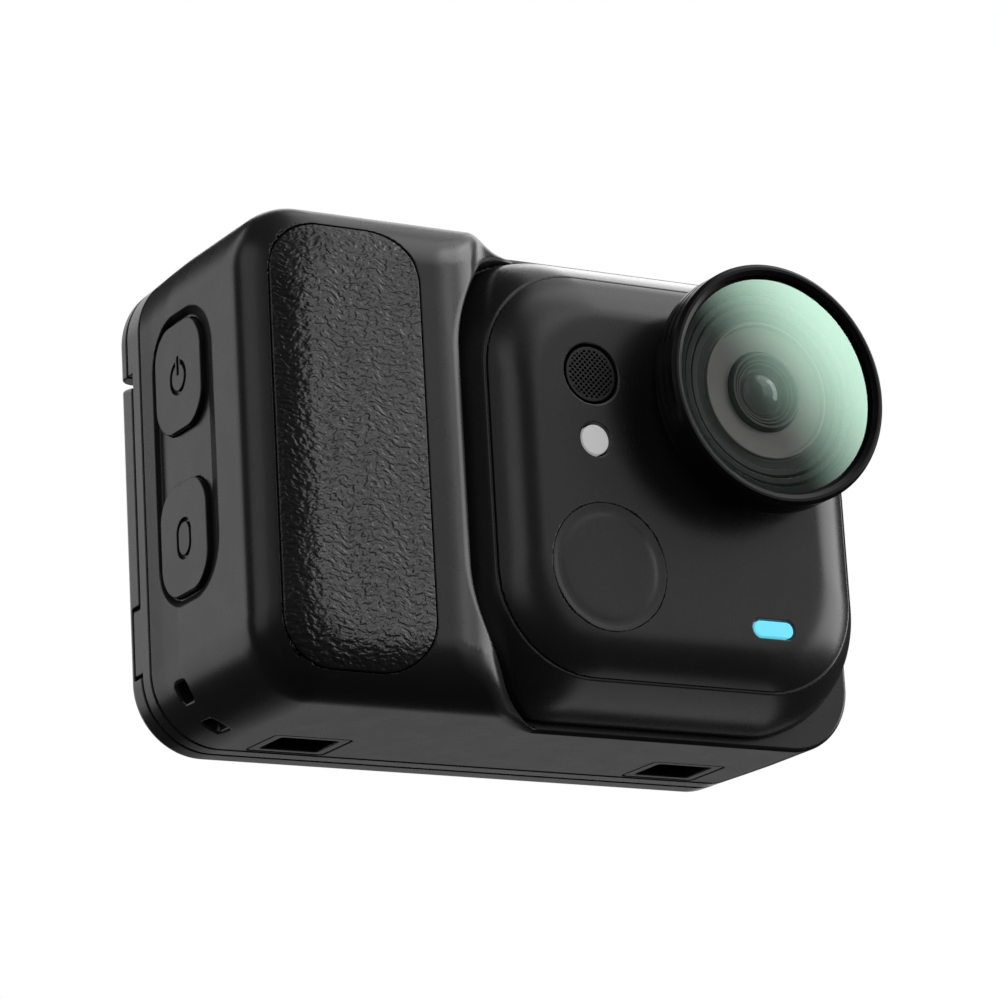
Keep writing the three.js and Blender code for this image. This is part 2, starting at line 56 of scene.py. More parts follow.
def both(a, b, r=0.0):
    """Where a and b overlap, with the edge between them rounded."""
    if r <= 0:
        return np.maximum(a, b)
    return np.minimum(-r, np.maximum(a, b)) + hyp(np.maximum(a + r, 0), np.maximum(b + r, 0))


def cut(a, b, r=0.0):
    return both(a, -b, r)


def join(a, b, r=0.0):
    return -both(-a, -b, r)


def disc(u, v, r):
    return hyp(u, v) - r


def curve(points, soft=0.4):
    """A smooth function through points, and its slope."""
    px, py = np.array(points, float).T
    step = 0.04
    at = np.arange(px[0], px[-1], step)
    table = np.interp(at, px, py)
    reach = int(3 * soft / step)
    bell = np.exp(-0.5 * (np.arange(-reach, reach + 1) * step / soft) ** 2)
    padded = np.concatenate([
        table[0] + (table[1] - table[0]) * np.arange(-reach, 0), table,
        table[-1] + (table[-1] - table[-2]) * np.arange(1, reach + 1)])
    table = np.convolve(padded, bell / bell.sum(), "valid")
    slope = np.gradient(table, step)
    return (lambda v: np.interp(v, at, table)), (lambda v: np.interp(v, at, slope))


def within(box, x, y, z, f, change):
    """Applies change(f, x, y, z) to the samples of f inside box."""
    if x.ndim == 3:
        part = []
        for axis, (lo, hi) in zip((x, y, z), box):
            part.append(slice(*np.searchsorted(axis.ravel(), (lo, hi))))
        i, j, k = part
        f[i, j, k] = change(f[i, j, k], x[i], y[:, j], z[:, :, k])
        return f
    m = np.ones(f.shape, bool)
    for axis, (lo, hi) in zip((x, y, z), box):
        m &= (axis >= lo) & (axis <= hi)
    f[m] = change(f[m], x[m], y[m], z[m])
    return f


# ---------------------------------------------------------------- meshes from fields
def ticks(lo, hi, spots, fine=0.14, coarse=0.5, reach=0.35):
    """Grid positions from lo to hi, close together near the spots."""
    fine, coarse = fine * FINE, coarse * FINE
    at, out = lo, [lo]
    while at < hi:
        near = min([abs(at - s) for s in spots] or [9]) - reach
        at += min(coarse, fine + 0.3 * max(near, 0))
        out.append(at)
    return np.array(out)


def net(field, xs, ys, zs):
    """Surface net of a field on a grid, pulled on to the exact surface. Returns points, quads and normals."""
    g = (xs[:, None, None], ys[None, :, None], zs[None, None, :])
    f = np.broadcast_to(field(*g), (len(xs), len(ys), len(zs)))
    inside = f < 0
    shape = tuple(n - 1 for n in f.shape)
    axes = (xs, ys, zs)
    cells, spots, quads_of = [], [], []
    for a in range(3):
        lo = [slice(None)] * 3
        hi = [slice(None)] * 3
        lo[a], hi[a] = slice(None, -1), slice(1, None)
        lo, hi = tuple(lo), tuple(hi)
        at = np.argwhere(inside[lo] != inside[hi])
        up = at.copy()
        up[:, a] += 1
        f0, f1 = f[tuple(at.T)], f[tuple(up.T)]
        t = f0 / (f0 - f1)
        p = np.stack([axes[k][at[:, k]] for k in range(3)], 1).astype(float)
        p[:, a] += t * (axes[a][up[:, a]] - axes[a][at[:, a]])
        b, c = (a + 1) % 3, (a + 2) % 3
        ring = []
        for db, dc in ((-1, -1), (0, -1), (0, 0), (-1, 0)):
            q = at.copy()
            q[:, b] += db
            q[:, c] += dc
            ring.append(np.ravel_multi_index(tuple(q.T), shape))
        ring = np.stack(ring, 1)
        ring[f0 >= 0] = ring[f0 >= 0][:, ::-1]
        quads_of.append(ring)
        cells.append(ring.ravel())
        spots.append(np.repeat(p, 4, 0))
    ids, back = np.unique(np.concatenate(cells), return_inverse=True)
    spots = np.concatenate(spots)
    count = np.bincount(back)
    v = np.stack([np.bincount(back, spots[:, k]) / count for k in range(3)], 1)
    quads = np.searchsorted(ids, np.concatenate(quads_of))
    reach = 0.25 * FINE

    def steep(p):
        e = 0.004
        return np.stack([
            (field(*(p + d).T) - field(*(p - d).T)) / (2 * e) for d in np.eye(3) * e], 1)

    for _ in range(4):
        n = steep(v)
        step = (field(*v.T) / np.maximum((n * n).sum(1), 0.05))[:, None] * n
        size = np.maximum(np.linalg.norm(step, axis=1, keepdims=True), 1e-9)
        v = v - step * np.minimum(1, reach / size)
    n = steep(v)
    n /= np.maximum(np.linalg.norm(n, axis=1, keepdims=True), 1e-9)
    return v, quads, n


def mesh_object(name, v, faces, normals=None):
    """A smooth-shaded mesh from corner-frame millimetres."""
    v = (np.asarray(v, float) + ORIGIN) * MM
    mesh = bpy.data.meshes.new(name)
    if isinstance(faces, np.ndarray):
        mesh.vertices.add(len(v))
        mesh.vertices.foreach_set("co", v.astype(np.float32).ravel())
        mesh.loops.add(faces.size)
        mesh.loops.foreach_set("vertex_index", faces.astype(np.int32).ravel())
        mesh.polygons.add(len(faces))
        starts = np.arange(0, faces.size, faces.shape[1], dtype=np.int32)
        mesh.polygons.foreach_set("loop_start", starts)
        mesh.update(calc_edges=True)
    else:
        mesh.from_pydata([tuple(p) for p in v], [], faces)
        mesh.update()
    mesh.validate()
    mesh.shade_smooth()
    if normals is not None:
        mesh.normals_split_custom_set_from_vertices(np.asarray(normals, float).tolist())
    ob = bpy.data.objects.new(name, mesh)
    bpy.context.scene.collection.objects.link(ob)
    return ob


def dress(ob, material, body, node=None):
    ob.data.materials.clear()
    ob.data.materials.append(material)
    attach(ob, body)
    if node:
        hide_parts(*([node] if isinstance(node, str) else node))
    return ob


def from_field(name, field, xs, ys, zs, material, body, node):
    v, quads, n = net(field, xs, ys, zs)
    return dress(mesh_object(name, v, quads, n), material, body, node)


def softened(corners, steps=4):
    """Closed profile with rounded corners [(radius, level, fillet)]: points and outward normals."""
    points, normals = [], []
    p = np.array([c[:2] for c in corners], float)
    area = 0.5 * np.sum(p[:, 0] * np.roll(p[:, 1], -1) - np.roll(p[:, 0], -1) * p[:, 1])
    side = 1 if area > 0 else -1
    for i, c in enumerate(corners):
        a, b, d = p[i - 1], p[i], p[(i + 1) % len(p)]
        u, w = (a - b) / np.linalg.norm(a - b), (d - b) / np.linalg.norm(d - b)
        cos = np.clip(u @ w, -1, 1)
        half = math.acos(cos) / 2
        if c[0] == 0 or half > 1.55:
            t = w if c[0] == 0 and abs(w[0]) > abs(u[0]) else -u
            points.append(b)
            normals.append(side * np.array([t[1], -t[0]]))
            continue
        r = min(c[2], 0.45 * min(np.linalg.norm(a - b), np.linalg.norm(d - b)) * math.tan(half))
        reach = r / math.tan(half)
        centre = b + (u + w) / np.linalg.norm(u + w) * r / math.sin(half)
        start, end = b + u * reach - centre, b + w * reach - centre
        turn = math.atan2(start[0] * end[1] - start[1] * end[0], start @ end)
        convex = (turn > 0) == (side > 0)
        for k in range(steps + 1):
            s = turn * k / steps
            q = np.array([start[0] * math.cos(s) - start[1] * math.sin(s),
                          start[0] * math.sin(s) + start[1] * math.cos(s)])
            points.append(centre + q)
            normals.append((q if convex else -q) / max(np.linalg.norm(q), 1e-9))
    return np.array(points), np.array(normals)


def lathe(name, corners, axis_x, axis_z, sides=160):
    """Turned piece about a line along Y. Corners are (radius, y, fillet)."""
    p, n = softened(corners)
    angle = np.arange(sides) * 2 * math.pi / sides
    verts, norms, index = [], [], []
    for (r, y), (nr, ny) in zip(p, n):
        if r < 1e-6:
            index.append([len(verts)] * sides)
            verts.append((axis_x, y, axis_z))
            norms.append((0, 1 if ny > 0 else -1, 0))
            continue
        index.append(list(range(len(verts), len(verts) + sides)))
        for t in angle:
            verts.append((axis_x + r * math.cos(t), y, axis_z + r * math.sin(t)))
            norms.append((nr * math.cos(t), ny, nr * math.sin(t)))
    faces = []
    for i in range(len(index)):
        a, b = index[i], index[(i + 1) % len(index)]
        if a[0] == a[1] and b[0] == b[1]:
            continue
        for k in range(sides):
            m = (k + 1) % sides
            face = [a[k], b[k], b[m], a[m]]
            face = [f for j, f in enumerate(face) if f not in face[:j]]
            faces.append(face)
    area = 0.5 * np.sum(p[:, 0] * np.roll(p[:, 1], -1) - np.roll(p[:, 0], -1) * p[:, 1])
    if area < 0:
        faces = [f[::-1] for f in faces]
    return mesh_object(name, verts, faces, norms)


# ---------------------------------------------------------------- the part's dimensions, mm
MID_X, MID_Z = 35.0, 23.85
POD_X, POD_Z = 46.0, 23.75
LENS_X, LENS_Z = 54.04, 32.44
CONTACT_X = 46.2                 # window for the contacts between dock and pod
MIC_X, MIC_Z = 36.55, 33.4
DOT_X, DOT_Z = 36.6, 26.85       # round status window
BAR_X, BAR_Z = 55.5, 9.6         # blue light bar
RELEASE_X, RELEASE_Z = 37.3, 14.3
TOP_KEY_X, TOP_KEY_Y = 12.0, 16.0
KEY_Y = 19.0                     # side buttons
POWER_KEY, RING_KEY = (33.9, 5.3), (18.1, 5.4)     # middle z and half height
SOCKET_XS, SOCKET_Y = (14.0, 56.0), 23.6
HINGE_Y, HINGE_Z = 31.85, 44.7
NOTCH_Z = 10.65                  # finger notches at the sides of the screen
SLIT = 0.09                      # gap that shows round a fitted piece
SIDE_WIDE = 6.4                  # how far the side fillet reaches over the front

# How far the side walls have drawn in, against y.
taper, _ = curve([(0, 0), (19, 0), (20, 0), (24, 0.2), (27.4, 0.45), (33, 0.75), (34, 0.8)], 0.5)
# The slope from the grip block down to the slab: y against x.
flank, flank_slope = curve([
    (10, -9), (14, -4.2), (17, -1.0), (19.4, 1.2), (21.2, 2.2), (22.6, 2.6), (24.1, 3.4),
    (25.5, 4.7), (26.9, 6.5), (28.2, 7.95), (29.9, 9.5), (31.5, 10.8), (32.8, 11.6),
    (34.0, 12.1), (35.3, 12.45), (37, 12.6), (71, 13.2)], 0.5)
# How much wider than the pod the bay is, against y.
bay_grow, bay_slope = curve([
    (-4, 2.6), (-2, 2.2), (2.3, 1.8), (2.8, 1.35), (3.8, 1.1), (6.5, 0.8), (12.4, 0.45),
    (16, 0.3)], 0.15)


def inset(d, deep, wide):
    """Quarter-ellipse edge: how far the outline draws in at depth d, and the slope."""
    t = np.clip(1 - d / deep, 0, 0.9995)
    root = np.sqrt(1 - t * t)
    return wide * (1 - root), wide / deep * t / root


def body(x, y, z, y0, y1, r0, r1):
    f = rounded_rect(x - MID_X, z - MID_Z, 35 - taper(y), 23.85, 7.0)
    return both(both(f, y0 - y, r0), y - y1, r1)


def block(x, y, z):
    """Grip block with rounded front edges."""
    d = y - 2.3
    ix, sx = inset(d, 4.4, SIDE_WIDE)
    iz, sz = inset(d, 6.05, 6.05)
    hx, hz = 35 - taper(y) - ix, 23.85 - iz
    r = np.maximum(7.0 - 0.2 * (ix + iz), 1.5)
    f = rounded_rect(x - MID_X, z - MID_Z, hx, hz, r)
    wx = np.maximum(np.abs(x - MID_X) - hx + r, 0.02) ** 2
    wz = np.maximum(np.abs(z - MID_Z) - hz + r, 0.02) ** 2
    f = f / np.sqrt(1 + (wx * sx * sx + wz * sz * sz) / (wx + wz))
    return both(f, -d)


def grip_window(x, z, grow):
    return rounded_rect(x - 9.95, z - 23.6, 7.65 + grow, 21.3 + grow, 5.2 + grow)


def recess(x, y, z):
    """Scooped panel round the side buttons."""
    def at(level):
        t = np.clip(level, -0.9, 0.8)
        side = np.interp(t, [-0.9, 0, 0.8], [0, 1, 2])
        y_mid, z_mid, half_y, half_z, r = (np.interp(side, [0, 1, 2], v) for v in (
            (16.8, 17.85, 18.9), (25.7, 25.75, 25.95),
            (8.7, 6.65, 5.3), (15.2, 14.25, 13.65), (6.4, 5.2, 4.2)))
        return rounded_rect(y - y_mid, z - z_mid, half_y, half_z, r)

    f = at(x)
    lean = (at(x + 0.05) - at(x - 0.05)) / 0.1
    return both(f / np.sqrt(1 + lean * lean), x - 0.8, 0.05)


def front_shell(x, y, z):
    b = block(x, y, z)
    steep = flank_slope(x)
    b = both(b, (flank(x) - y) / np.sqrt(1 + steep * steep), 1.1)
    g, s = bay_grow(y), bay_slope(y)
    bay = rounded_rect(x - POD_X, z - POD_Z, 22.8 + g, np.minimum(22.9 + g, 23.3), 11.6 + g)
    b = cut(b, bay / np.sqrt(1 + s * s), 0.5)
    f = np.minimum(both(b, y - 14.5), body(x, y, z, 12.4, 27.25, 0.45, 0.12))

    def grip(f, x, y, z):
        return cut(f, both(grip_window(x, z, SLIT), -block(x, y, z) - 1.45), 0.06)

    def side(f, x, y, z):
        f = cut(f, recess(x, y, z), 0.07)
        for zc, hz in (POWER_KEY, RING_KEY):
            hole = rounded_rect(y - KEY_Y, z - zc, 4.8 + SLIT, hz + SLIT, 3.3 + SLIT)
            f = cut(f, both(hole, x - 4.6), 0.06)
        return f

    def seat(f, x, y, z):
        f = cut(f, both(rounded_rect(x - POD_X, z - POD_Z, 19.6, 19.6, 8.4), y - 15.4, 0.3), 0.35)
        return cut(f, both(rounded_rect(x - CONTACT_X, z - POD_Z, 5.5, 2.05, 0.3), y - 18), 0.15)

    def sockets(f, x, y, z):
        for xc in SOCKET_XS:
            f = cut(f, both(rounded_rect(x - xc, y - SOCKET_Y, 4.15, 3.25, 0.5), z - 7), 0.16)
        return f

    def lanyard(f, x, y, z):
        eye = both(rounded_rect(y - 21.4, z - 3.8, 1.2, 0.9, 0.45), x - 5.2)
        slot = both(rounded_rect(x - 4.1, y - 21.4, 0.9, 1.2, 0.45), z - 4.6)
        return cut(f, np.minimum(eye, slot), 0.22)

    def top(f, x, y, z):
        return cut(f, both(disc(x - TOP_KEY_X, y - TOP_KEY_Y, 4.6), 44 - z), 0.2)

    def door(f, x, y, z):
        f = cut(f, both(rounded_rect(y - 19.15, z - 23.5, 4.25, 9.3, 0.8), 68.1 - x), 0.15)
        return cut(f, both(rounded_rect(y - 19.2, z - 23.5, 1.8, 4.8, 1.6), 61 - x), 0.12)

    f = np.array(f)
    f = within(((0, 20), (0, 9), (0, 48)), x, y, z, f, grip)
    f = within(((-2, 6), (8, 27), (9, 43)), x, y, z, f, side)
    f = within(((24, 68), (10, 19), (2, 45)), x, y, z, f, seat)
    f = within(((7, 63), (18, 28), (-1, 8)), x, y, z, f, sockets)
    f = within(((-1, 7), (18, 25), (-1, 7)), x, y, z, f, lanyard)
    f = within(((6, 18), (9, 23), (42, 49)), x, y, z, f, top)
    return within(((59, 71), (13, 26), (12, 35)), x, y, z, f, door)


def grip_pad(x, y, z):
    b = block(x, y, z)
    return both(both(b + 0.04, grip_window(x, z, 0), 0.12), -(b + 1.05))


def rear_frame(x, y, z):
    f = body(x, y, z, 27.55, 29.35, 0.14, 0.14)
    ears = both(body(x, y, z, 28.6, 30.4, 0.14, 0.14), 37.3 - z, 0.14)
    f = np.minimum(f, both(ears, 23.0 - np.abs(x - MID_X), 0.14))
    tabs = both(body(x, y, z, 28.6, 31.1, 0.14, 0.14), np.abs(z - NOTCH_Z) - 3.25, 0.14)
    f = np.minimum(f, both(tabs, 33.1 - np.abs(x - MID_X), 0.14))
    f = cut(f, both(rounded_rect(x - 35, z - 21, 15, 11, 2), 26 - y), 0.2)
    for cx in (6.2, 63.8):
        for cz in (5.0, 42.7):
            f = cut(f, disc(x - cx, z - cz, 0.9))
            f = cut(f, both(disc(x - cx, z - cz, 1.5), 28 - y), 0.1)
    return f


def hinge_blocks(x, y, z):
    f = both(body(x, y, z, 30.7, 33, 0.15, 1.5), 37.3 - z, 0.2)
    f = both(f, 23.0 - np.abs(x - MID_X), 0.25)
    return cut(f, both(disc(y - HINGE_Y, z - HINGE_Z, 0.85), np.abs(x - MID_X) - 30.4))


def screen_frame(x, y, z):
    f = body(x, y, z, 29.65, 33, 0.15, 1.5)
    top = (z - np.interp(y, [29, 31, 34], [35.85, 36.25, 36.55])) * 0.97
    f = both(f, top, 0.3)
    f = cut(f, both(rounded_rect(x - 35, z - 18.4, 31.8, 15.8, 2.6), 31.1 - y), 0.12)
    f = cut(f, both(both(np.abs(x - MID_X) - 22.9, 30.9 - z), y - 30.9), 0.12)
    notch = both(32.8 - np.abs(x - MID_X), np.abs(z - NOTCH_Z) - 3.55, 0.3)
    return cut(f, both(notch, y - 31.4, 0.3), 0.15)


def hinge_arm(x, y, z):
    top = disc(y - HINGE_Y, z - HINGE_Z, 1.45)
    stem = both(both(36.95 - z, z - HINGE_Z), both(y - 33.0, 30.4 - y), 0.15)
    leaf = both(both(y - 30.6, 29.75 - y), both(31.3 - z, z - 44.2), 0.2)
    f = join(np.minimum(top, stem), leaf, 0.3)
    f = both(f, np.abs(x - MID_X) - 22.6, 0.2)
    return cut(f, disc(y - HINGE_Y, z - HINGE_Z, 0.85))


def pod_form(x, y, z):
    d = y - 3.2
    i, s = inset(d, 9.0, 8.0)
    f = rounded_rect(x - POD_X, z - POD_Z, 22.8 - i, 22.9 - i, 11.6 - 0.5 * i)
    return both(f / np.sqrt(1 + s * s), -d, 0.04)


def pod_front_cover(x, y, z):
    f = both(pod_form(x, y, z), y - 5.23, 0.06)
    f = cut(f, both(rounded_rect(x - CONTACT_X, z - POD_Z, 16.6, 16.65, 6), 4.4 - y))
    f = cut(f, disc(x - LENS_X, z - LENS_Z, 9.5), 0.1)
    f = cut(f, disc(x - MIC_X, z - MIC_Z, 3.02), 0.14)
    f = cut(f, disc(x - DOT_X, z - DOT_Z, 1.7), 0.1)
    f = cut(f, disc(x - RELEASE_X, z - RELEASE_Z, 6.32), 0.01)
    return cut(f, rounded_rect(x - BAR_X, z - BAR_Z, 2.4, 0.95, 0.94), 0.1)


def pod_rear_shell(x, y, z):
    f = both(both(pod_form(x, y, z), 5.37 - y, 0.06), y - 12.1, 0.6)
    spigot = both(rounded_rect(x - POD_X, z - POD_Z, 19.2, 19.2, 8), y - 15.0, 0.35)
    f = np.minimum(f, both(spigot, 11.5 - y))
    f = cut(f, both(rounded_rect(x - POD_X, z - POD_Z, 17.7, 17.7, 6.5), y - 13.5))
    return cut(f, both(rounded_rect(x - CONTACT_X, z - POD_Z, 5.8, 2.35, 0.3), 13 - y), 0.15)


def power_icon(y, z):
    """A broken ring with a short bar."""
    u, v = y - 18.95, z - 33.8
    ring = np.abs(hyp(u, v) - 1.5) - 0.2
    ring = both(ring, -both(np.abs(u) - 0.52, -v))
    return np.minimum(ring, rounded_rect(u, v - 1.15, 0.2, 0.95, 0.19))


def ring_icon(y, z):
    return np.abs(rounded_rect(y - 18.95, z - 18.0, 1.3, 1.8, 1.28)) - 0.2


def side_button(zc, hz, icon):
    def field(x, y, z):
        f = both(rounded_rect(y - KEY_Y, z - zc, 4.8, hz, 3.3), 0.25 - x, 0.12)
        f = both(f, x - 4.1)
        flange = both(rounded_rect(y - KEY_Y, z - zc, 5.6, hz + 0.8, 3.3), np.abs(x - 4.02) - 0.27)
        f = np.minimum(f, flange)
        return cut(f, both(icon(y, z), x - 0.6, 0.03), 0.04)
    return field


def top_button(x, y, z):
    f = both(disc(x - TOP_KEY_X, y - TOP_KEY_Y, 4.3), z - 47.9, 0.35)
    f = both(f, 44.6 - z)
    return np.minimum(f, both(disc(x - TOP_KEY_X, y - TOP_KEY_Y, 5.0), np.abs(z - 44.65) - 0.35))


def release_button(x, y, z):
    rim = hyp(x - RELEASE_X, z - RELEASE_Z)
    dish = 0.09 * np.exp(-((rim - 5.55) / 0.55) ** 2)
    f = both(rim - 6.3, 3.205 + dish - y, 0.01)
    return np.minimum(both(f, y - 5.0), both(rim - 6.9, np.abs(y - 4.91) - 0.19))


def socket_liner(xc):
    def field(x, y, z):
        f = both(both(rounded_rect(x - xc, y - SOCKET_Y, 4.03, 3.13, 0.4), 0.03 - z, 0.06), z - 6.3)
        return cut(f, both(rounded_rect(x - xc, y - SOCKET_Y, 3.1, 2.4, 0.3), z - 5.5), 0.1)
    return field


def mic_grille(x, y, z):
    u, v = x - MIC_X, z - MIC_Z
    f = both(both(disc(u, v, 2.75), 3.36 - y, 0.06), y - 4.3)
    pitch = 0.4
    a, b = (u + v) / math.sqrt(2) / pitch, (u - v) / math.sqrt(2) / pitch
    hole = hyp(a - np.round(a), b - np.round(b)) * pitch - 0.125
    hole = both(both(hole, disc(u, v, 2.42)), y - 3.9)
    return cut(f, hole, 0.03)


def light_bar(x, y, z):
    f = both(rounded_rect(x - BAR_X, z - BAR_Z, 2.25, 0.8, 0.79), 3.27 - y, 0.12)
    return both(f, y - 4.3)


# ---------------------------------------------------------------- materials
def material(name, colour, rough, vary=0.12, grain=0.0, grain_mm=0.12, rough_vary=0.06, wear_and_sheen=0.0,
             metallic=0.0, alpha=1.0, **sockets):
    """Procedural surface: tone and gloss that wander a little, fine grain, convex edges painted lighter, partly as
    wear and partly as a painted sheen.
    """
    m = bpy.data.materials.new(name)
    m.use_nodes = True
    t = m.node_tree
    t.nodes.clear()
    out = t.nodes.new("ShaderNodeOutputMaterial")
    s = t.nodes.new("ShaderNodeBsdfPrincipled")
    t.links.new(s.outputs[0], out.inputs[0])
    s.inputs["Metallic"].default_value = metallic
    s.inputs["Alpha"].default_value = alpha
    for key, value in sockets.items():
        s.inputs[key.replace("_", " ")].default_value = value
    co = t.nodes.new("ShaderNodeTexCoord").outputs["Object"]

    def noise(mm, detail=2.0, rough=0.5):
        n = t.nodes.new("ShaderNodeTexNoise")
        n.inputs["Scale"].default_value = 1000 / mm
        n.inputs["Detail"].default_value = detail
        n.inputs["Roughness"].default_value = rough
        t.links.new(co, n.inputs["Vector"])
        return n.outputs["Fac"]

    def ramp(value, lo, hi, a, b):
        n = t.nodes.new("ShaderNodeMapRange")
        for key, v in zip(("From Min", "From Max", "To Min", "To Max"), (lo, hi, a, b)):
            n.inputs[key].default_value = v
        t.links.new(value, n.inputs["Value"])
        return n.outputs[0]

    def mix(fac, a, b):
        n = t.nodes.new("ShaderNodeMix")
        n.data_type = "RGBA"
        t.links.new(fac, n.inputs["Factor"])
        for key, v in (("A", a), ("B", b)):
            target = [i for i in n.inputs if i.name == key and i.type == "RGBA"][0]
            if isinstance(v, tuple):
                target.default_value = (*v, 1)
            else:
                t.links.new(v, target)
        return [o for o in n.outputs if o.type == "RGBA"][0]

    light = tuple(min(1, c * (1 + vary)) for c in colour)
    dark = tuple(c * (1 - vary) for c in colour)
    tone = mix(ramp(noise(9, 3), 0.3, 0.7, 0, 1), dark, light)
    # Convex edges are painted lighter by pointiness: partly edge wear, partly a painted sheen.
    if wear_and_sheen:
        edge = t.nodes.new("ShaderNodeNewGeometry").outputs["Pointiness"]
        worn_and_sheen_tone = tuple(min(1, c * 2.2 + 0.01) for c in colour)
        tone = mix(ramp(edge, 0.52, 0.62, 0, wear_and_sheen), tone, worn_and_sheen_tone)
    t.links.new(tone, s.inputs["Base Color"])
    gloss = ramp(noise(4, 4, 0.6), 0.3, 0.7, rough - rough_vary, rough + rough_vary)
    t.links.new(gloss, s.inputs["Roughness"])
    if grain:
        b = t.nodes.new("ShaderNodeBump")
        b.inputs["Strength"].default_value = 1.0
        b.inputs["Distance"].default_value = grain * MM
        t.links.new(noise(grain_mm, 2), b.inputs["Height"])
        t.links.new(b.outputs[0], s.inputs["Normal"])
    return m


def leatherette():
    m = material("leatherette", (0.016, 0.016, 0.0165), 0.30, vary=0.15, rough_vary=0.03)
    t = m.node_tree
    s = next(n for n in t.nodes if n.type == "BSDF_PRINCIPLED")
    co = t.nodes.new("ShaderNodeTexCoord").outputs["Object"]

    def vector(op, a, b):
        n = t.nodes.new("ShaderNodeVectorMath")
        n.operation = op
        t.links.new(a, n.inputs[0])
        if isinstance(b, tuple):
            n.inputs[1].default_value = b
        else:
            t.links.new(b, n.inputs[1])
        return n.outputs[0]

    def noise(source, scale, detail=2.0, rough=0.5, out="Fac"):
        n = t.nodes.new("ShaderNodeTexNoise")
        n.inputs["Scale"].default_value = scale
        n.inputs["Detail"].default_value = detail
        n.inputs["Roughness"].default_value = rough
        t.links.new(source, n.inputs["Vector"])
        return n.outputs[out]

    def scalar(op, a, b):
        n = t.nodes.new("ShaderNodeMath")
        n.operation = op
        for i, v in enumerate((a, b)):
            if isinstance(v, (int, float)):
                n.inputs[i].default_value = v
            else:
                t.links.new(v, n.inputs[i])
        return n.outputs[0]

    slow = noise(vector("MULTIPLY", co, (260.0, 0.0, 60.0)), 1.0, 1.0, out="Color")
    sway = vector("MULTIPLY", vector("SUBTRACT", slow, (0.5, 0.5, 0.5)), (0.0, 0.0, 0.0028))
    bent = vector("ADD", co, sway)
    folds = noise(vector("MULTIPLY", bent, (1550.0, 300.0, 2500.0)), 1.0, 1.0, 0.5)
    crease = scalar("TANH", scalar("MULTIPLY", scalar("SUBTRACT", folds, 0.5), 6.0), 0.0)
    pores = noise(co, 5200, 2)
    height = scalar("ADD", crease, scalar("MULTIPLY", pores, 0.25))
    b = t.nodes.new("ShaderNodeBump")
    b.inputs["Distance"].default_value = 0.04 * MM
    t.links.new(height, b.inputs["Height"])
    t.links.new(b.outputs[0], s.inputs["Normal"])
    return m


MOULDED = dict(vary=0.05, rough_vary=0.02)
SHELL = material("shell_plastic", (0.020, 0.0203, 0.021), 0.28, grain=0.003, grain_mm=0.14,
                 wear_and_sheen=0.15, **MOULDED)
POD = material("pod_plastic", (0.014, 0.014, 0.0145), 0.27, grain=0.002, grain_mm=0.12,
               wear_and_sheen=0.1, **MOULDED)
KEY = material("button_plastic", (0.021, 0.0213, 0.022), 0.28, grain=0.003, grain_mm=0.14,
               wear_and_sheen=0.15, **MOULDED)
GRIP = leatherette()
ANODISED = material("anodised_ring", (0.006, 0.006, 0.0065), 0.30, grain=0.002, grain_mm=0.2,
                    wear_and_sheen=0.2, Specular_IOR_Level=0.2, **MOULDED)
INNER = material("lens_black", (0.13, 0.135, 0.13), 0.25, grain=0.001, **MOULDED)
TRIM = material("lens_trim", (0.34, 0.325, 0.30), 0.30, vary=0.04, rough_vary=0.02, grain=0.002)


def paint_shade_outside(m, radius, tone):
    """Painted shade: paint the part of a turned piece beyond a radius about the lens axis in a darker tone, for
    the shade that falls there.
    """
    t = m.node_tree
    shader = next(n for n in t.nodes if n.type == "BSDF_PRINCIPLED")
    inner = shader.inputs["Base Color"].links[0].from_socket
    place, shift, flat, length = (t.nodes.new(k) for k in (
        "ShaderNodeTexCoord", "ShaderNodeVectorMath", "ShaderNodeVectorMath", "ShaderNodeVectorMath"))
    shift.operation, flat.operation, length.operation = "SUBTRACT", "MULTIPLY", "LENGTH"
    shift.inputs[1].default_value = [float(v) * MM for v in np.array((LENS_X, 0.0, LENS_Z)) + ORIGIN]
    flat.inputs[1].default_value = (1, 0, 1)
    step, blend = t.nodes.new("ShaderNodeMapRange"), t.nodes.new("ShaderNodeMixRGB")
    for key, v in zip(("From Min", "From Max"), (radius * MM, (radius + 0.1) * MM)):
        step.inputs[key].default_value = v
    t.links.new(place.outputs["Object"], shift.inputs[0])
    t.links.new(shift.outputs[0], flat.inputs[0])
    t.links.new(flat.outputs[0], length.inputs[0])
    t.links.new(length.outputs["Value"], step.inputs["Value"])
    t.links.new(step.outputs[0], blend.inputs[0])
    t.links.new(inner, blend.inputs[1])
    blend.inputs[2].default_value = (*tone, 1)
    t.links.new(blend.outputs[0], shader.inputs["Base Color"])


# Painted shade: the lens trim beyond 7 mm is painted darker for the shade that falls on its outer part.
paint_shade_outside(TRIM, 7.0, (0.02, 0.024, 0.021))
STEEL = material("steel", (0.55, 0.56, 0.58), 0.32, metallic=1.0, grain=0.002)
GOLD = material("contact_gold", (0.80, 0.58, 0.25), 0.25, metallic=1.0)
BOARD = material("circuit_board", (0.02, 0.09, 0.045), 0.5, grain=0.01, grain_mm=0.8)
CELL = material("battery_wrap", (0.05, 0.07, 0.09), 0.45, grain=0.01, grain_mm=2.0)
SENSOR = material("sensor_glass", (0.03, 0.02, 0.05), 0.1)
SCREEN = material("screen_glass", (0.006, 0.007, 0.008), 0.05, rough_vary=0.02, Coat_Weight=1.0)
PANEL = material("display_panel", (0.012, 0.014, 0.02), 0.25)
GRILLE = material("grille_metal", (0.014, 0.014, 0.015), 0.38, grain=0.002, metallic=0.3)
